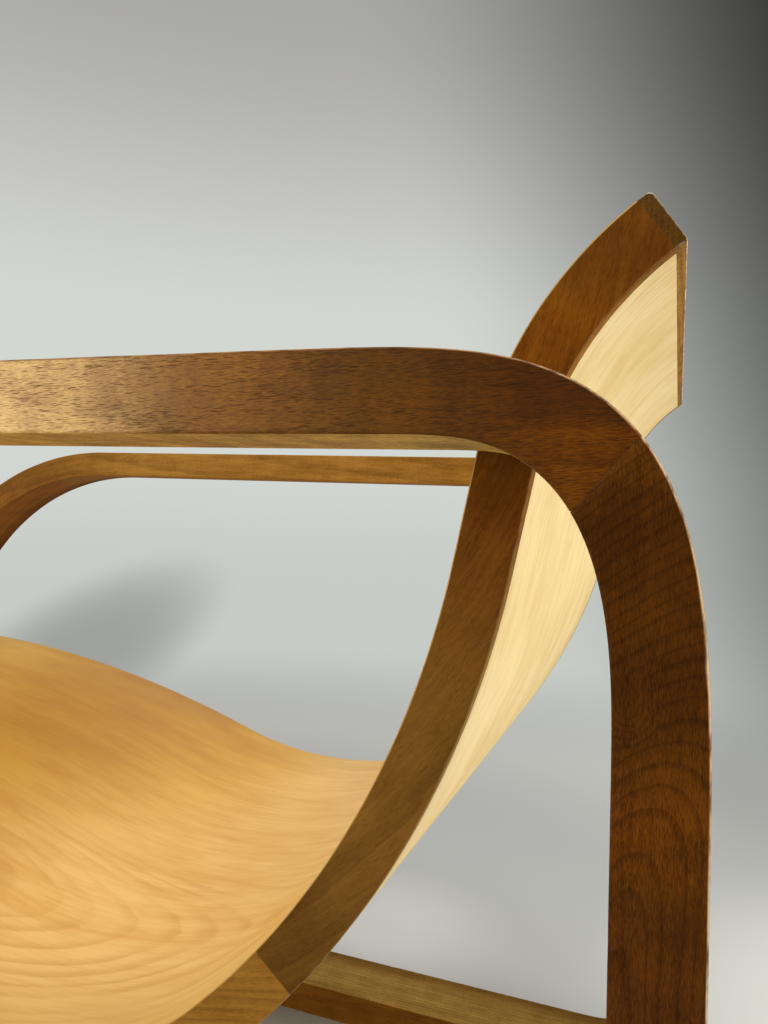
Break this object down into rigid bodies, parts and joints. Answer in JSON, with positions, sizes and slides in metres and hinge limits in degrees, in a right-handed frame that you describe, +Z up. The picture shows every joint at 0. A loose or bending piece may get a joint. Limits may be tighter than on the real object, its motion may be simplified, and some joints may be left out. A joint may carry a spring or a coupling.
{
  "type": "lounge chair",
  "caption": "Low wooden lounge chair: a curved seat-and-back shell held between two closed, soft-cornered side frames that form arms, legs and runners.",
  "frame": {"origin": "on the floor, under the centre of the outer box", "axes": "+X across the chair to the sitter's left, -Y the way the sitter looks, +Z up"},
  "size_m": [0.622, 0.9966, 0.6805],
  "materials": {
    "frame_wood": "oiled satin",
    "seat_ash": "lacquered satin",
    "rear_ash": "lacquered satin",
    "hidden_wood": "raw",
    "fixing_steel": "plain"
  },
  "bodies": {
    "root": {"arm_rail_left": "frame_wood", "arm_rail_right": "frame_wood", "rear_leg_left": "frame_wood", "rear_leg_right": "frame_wood", "runner_left": "frame_wood", "runner_right": "frame_wood", "frame_tongues_left": "hidden_wood", "frame_tongues_right": "hidden_wood", "back_board_left": "frame_wood", "back_board_right": "frame_wood", "seat_board_left": "frame_wood", "seat_board_right": "frame_wood", "front_board_left": "frame_wood", "front_board_right": "frame_wood", "shell_core": "hidden_wood", "seat_facing": "seat_ash", "rear_facing": "rear_ash", "top_edging": "frame_wood", "front_edging": "frame_wood", "seam_dowels_left": "hidden_wood", "seam_dowels_right": "hidden_wood", "spacer_discs": "frame_wood", "fixing_studs": "fixing_steel", "frame_inserts": "fixing_steel", "board_inserts": "fixing_steel"}
  },
  "joints": []
}
